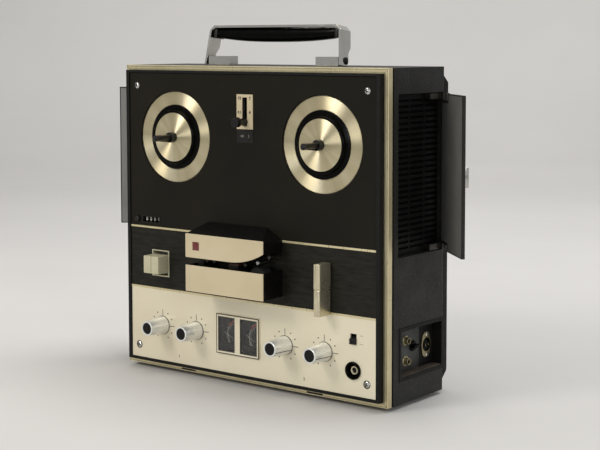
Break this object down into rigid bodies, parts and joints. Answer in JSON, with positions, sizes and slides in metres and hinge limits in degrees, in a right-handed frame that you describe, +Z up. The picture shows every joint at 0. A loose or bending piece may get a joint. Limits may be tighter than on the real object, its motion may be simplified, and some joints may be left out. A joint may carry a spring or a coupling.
{
  "type": "reel to reel tape deck",
  "caption": "Upright portable reel to reel tape deck with reel spindles, head covers, knobs, level meters, side speaker doors and a folding handle.",
  "frame": {"origin": "on the floor, midway between the four feet and midway through the cabinet's depth from its front trim to its back", "axes": "+Z up, +X to the right of someone facing the deck, the deck faces -Y"},
  "size_m": [0.5474, 0.1855, 0.4465],
  "materials": {
    "leatherette": "fine grained covering over board",
    "black_back": "moulded rear cover",
    "champagne": "satin",
    "black_deck": "satin black",
    "dark_brushed": "dark brushed",
    "steel": "satin",
    "zinc": "plated",
    "chrome": "polished",
    "rubber": "matte",
    "black_plastic": "satin",
    "matt_plastic": "matte",
    "cream": "satin",
    "brass": "turned",
    "iron": "machined",
    "window": "clear",
    "paper_cone": "speaker cone and frame",
    "board": "circuit board",
    "dark_trim": "satin",
    "cream_plastic": "moulded",
    "silver": "fine turned lines",
    "dark_steel": "dark",
    "needle": "painted"
  },
  "bodies": {
    "case": {"cabinet_shell": "leatherette", "rear_cover": "black_back", "trim_frame": "champagne", "deck_bezel": "dark_trim", "feet": "rubber", "deck_plate": "black_deck", "mid_panel": "dark_brushed", "control_panel": "champagne", "divider_strips": "champagne", "panel_screws": "chrome", "chassis": "zinc", "shaft_bearings": "brass", "drive_motor": "steel", "drive_belt": "rubber", "tape_heads": "chrome", "tape_guides": "chrome", "upper_head_cover": "black_plastic", "lower_head_cover": "black_plastic", "cover_plates": "cream", "record_bezel": "cream_plastic", "potentiometers": "zinc", "speed_plate": "cream", "counter_housing": "matt_plastic", "meter_frame": "champagne", "meter_glass": "window", "phone_jack": "black_plastic", "side_grilles": "matt_plastic", "speakers": "paper_cone", "door_hinges": "dark_steel", "handle_brackets": "chrome", "connector_recess": "matt_plastic", "side_sockets": "zinc", "power_transformer": "iron", "amplifier_board": "board"},
    "supply_reel": {"supply_turntable": "champagne", "supply_spindle": "black_plastic"},
    "takeup_reel": {"takeup_turntable": "champagne", "takeup_spindle": "black_plastic"},
    "capstan": {"capstan_flywheel": "steel"},
    "motor_rotor": {"motor_pulley": "brass"},
    "pinch_arm": {"pinch_arm": "steel"},
    "pinch_roller": {"pinch_roller": "rubber"},
    "function_lever": {"function_lever": "chrome"},
    "left_record_button": {"left_record_button": "cream_plastic"},
    "right_record_button": {"right_record_button": "cream_plastic"},
    "left_volume_knob": {"left_volume_knob": "silver"},
    "left_tone_knob": {"left_tone_knob": "silver"},
    "right_volume_knob": {"right_volume_knob": "silver"},
    "right_tone_knob": {"right_tone_knob": "silver"},
    "speed_selector": {"speed_selector": "black_plastic"},
    "counter_drums": {"counter_drums": "matt_plastic"},
    "counter_reset": {"counter_reset": "black_plastic"},
    "left_needle": {"left_needle": "needle"},
    "right_needle": {"right_needle": "needle"},
    "slide_switch": {"slide_switch": "black_plastic"},
    "left_door": {"left_door": "leatherette"},
    "right_door": {"right_door": "leatherette"},
    "handle": {"handle_frame": "chrome", "handle_grip": "black_plastic"},
    "voltage_selector": {"voltage_selector": "black_plastic"}
  },
  "joints": [
    {"name": "supply_spin", "type": "hinge", "parent": "case", "child": "supply_reel", "pos_m": [-0.116, -0.06, 0.3055], "axis": [0, -1, 0], "continuous": true},
    {"name": "takeup_spin", "type": "hinge", "parent": "case", "child": "takeup_reel", "pos_m": [0.116, -0.06, 0.3055], "axis": [0, -1, 0], "continuous": true},
    {"name": "capstan_spin", "type": "hinge", "parent": "case", "child": "capstan", "pos_m": [0.04, -0.06, 0.1625], "axis": [0, -1, 0], "continuous": true},
    {"name": "motor_spin", "type": "hinge", "parent": "case", "child": "motor_rotor", "pos_m": [-0.058, -0.04, 0.155], "axis": [0, -1, 0], "continuous": true},
    {"name": "lever_turn", "type": "hinge", "parent": "case", "child": "function_lever", "pos_m": [0.125, -0.066, 0.1378], "axis": [0, -1, 0], "range_deg": [-30, 30]},
    {"name": "pinch_swing", "type": "hinge", "parent": "case", "child": "pinch_arm", "pos_m": [0.008, -0.07, 0.135], "axis": [0, -1, 0], "range_deg": [-5, 5]},
    {"name": "roller_spin", "type": "hinge", "parent": "pinch_arm", "child": "pinch_roller", "pos_m": [0.038, -0.084, 0.1438], "axis": [0, -1, 0], "continuous": true},
    {"name": "left_volume_turn", "type": "hinge", "parent": "case", "child": "left_volume_knob", "pos_m": [-0.1395, -0.066, 0.0617], "axis": [0, -1, 0], "range_deg": [-150, 150]},
    {"name": "left_tone_turn", "type": "hinge", "parent": "case", "child": "left_tone_knob", "pos_m": [-0.0815, -0.066, 0.0617], "axis": [0, -1, 0], "range_deg": [-150, 150]},
    {"name": "right_volume_turn", "type": "hinge", "parent": "case", "child": "right_volume_knob", "pos_m": [0.061, -0.066, 0.0617], "axis": [0, -1, 0], "range_deg": [-150, 150]},
    {"name": "right_tone_turn", "type": "hinge", "parent": "case", "child": "right_tone_knob", "pos_m": [0.12, -0.066, 0.0617], "axis": [0, -1, 0], "range_deg": [-150, 150]},
    {"name": "left_record_press", "type": "slide", "parent": "case", "child": "left_record_button", "axis": [0, 1, 0], "range_m": [0, 0.006], "stiffness_N_per_m": 200, "springref_m": -0.001},
    {"name": "right_record_press", "type": "slide", "parent": "case", "child": "right_record_button", "axis": [0, 1, 0], "range_m": [0, 0.006], "stiffness_N_per_m": 200, "springref_m": -0.001},
    {"name": "speed_shift", "type": "slide", "parent": "case", "child": "speed_selector", "axis": [0, 0, 1], "range_m": [0, 0.018]},
    {"name": "switch_shift", "type": "slide", "parent": "case", "child": "slide_switch", "axis": [0, 0, 1], "range_m": [0, 0.005]},
    {"name": "reset_press", "type": "slide", "parent": "case", "child": "counter_reset", "axis": [0, 1, 0], "range_m": [0, 0.0022], "stiffness_N_per_m": 200, "springref_m": -0.001},
    {"name": "counter_spin", "type": "hinge", "parent": "case", "child": "counter_drums", "pos_m": [-0.1585, -0.05925, 0.197], "axis": [1, 0, 0], "continuous": true},
    {"name": "left_needle_swing", "type": "hinge", "parent": "case", "child": "left_needle", "pos_m": [-0.0211, -0.063, 0.0566], "axis": [0, 1, 0], "range_deg": [0, 58], "stiffness_Nm_per_rad": 0.00002, "springref_deg": -17.19},
    {"name": "right_needle_swing", "type": "hinge", "parent": "case", "child": "right_needle", "pos_m": [0.0143, -0.063, 0.0566], "axis": [0, 1, 0], "range_deg": [0, 58], "stiffness_Nm_per_rad": 0.00002, "springref_deg": -17.19},
    {"name": "left_door_swing", "type": "hinge", "parent": "case", "child": "left_door", "pos_m": [-0.2096, 0.0584, 0.271], "axis": [0, 0, -1], "range_deg": [-48, 42]},
    {"name": "right_door_swing", "type": "hinge", "parent": "case", "child": "right_door", "pos_m": [0.2096, 0.0584, 0.271], "axis": [0, 0, 1], "range_deg": [-48, 42]},
    {"name": "handle_swing", "type": "hinge", "parent": "case", "child": "handle", "pos_m": [0, -0.0065, 0.4025], "axis": [-1, 0, 0], "range_deg": [-8, 66]},
    {"name": "selector_turn", "type": "hinge", "parent": "case", "child": "voltage_selector", "pos_m": [0.195, 0.0095, 0.0655], "axis": [1, 0, 0], "range_deg": [0, 90]}
  ],
  "couplings": [
    {"joint": "motor_spin", "follows": "capstan_spin", "ratio": 6.2857},
    {"joint": "pinch_swing", "follows": "lever_turn", "ratio": 0.1666},
    {"joint": "counter_spin", "follows": "supply_spin", "ratio": 0.5}
  ]
}
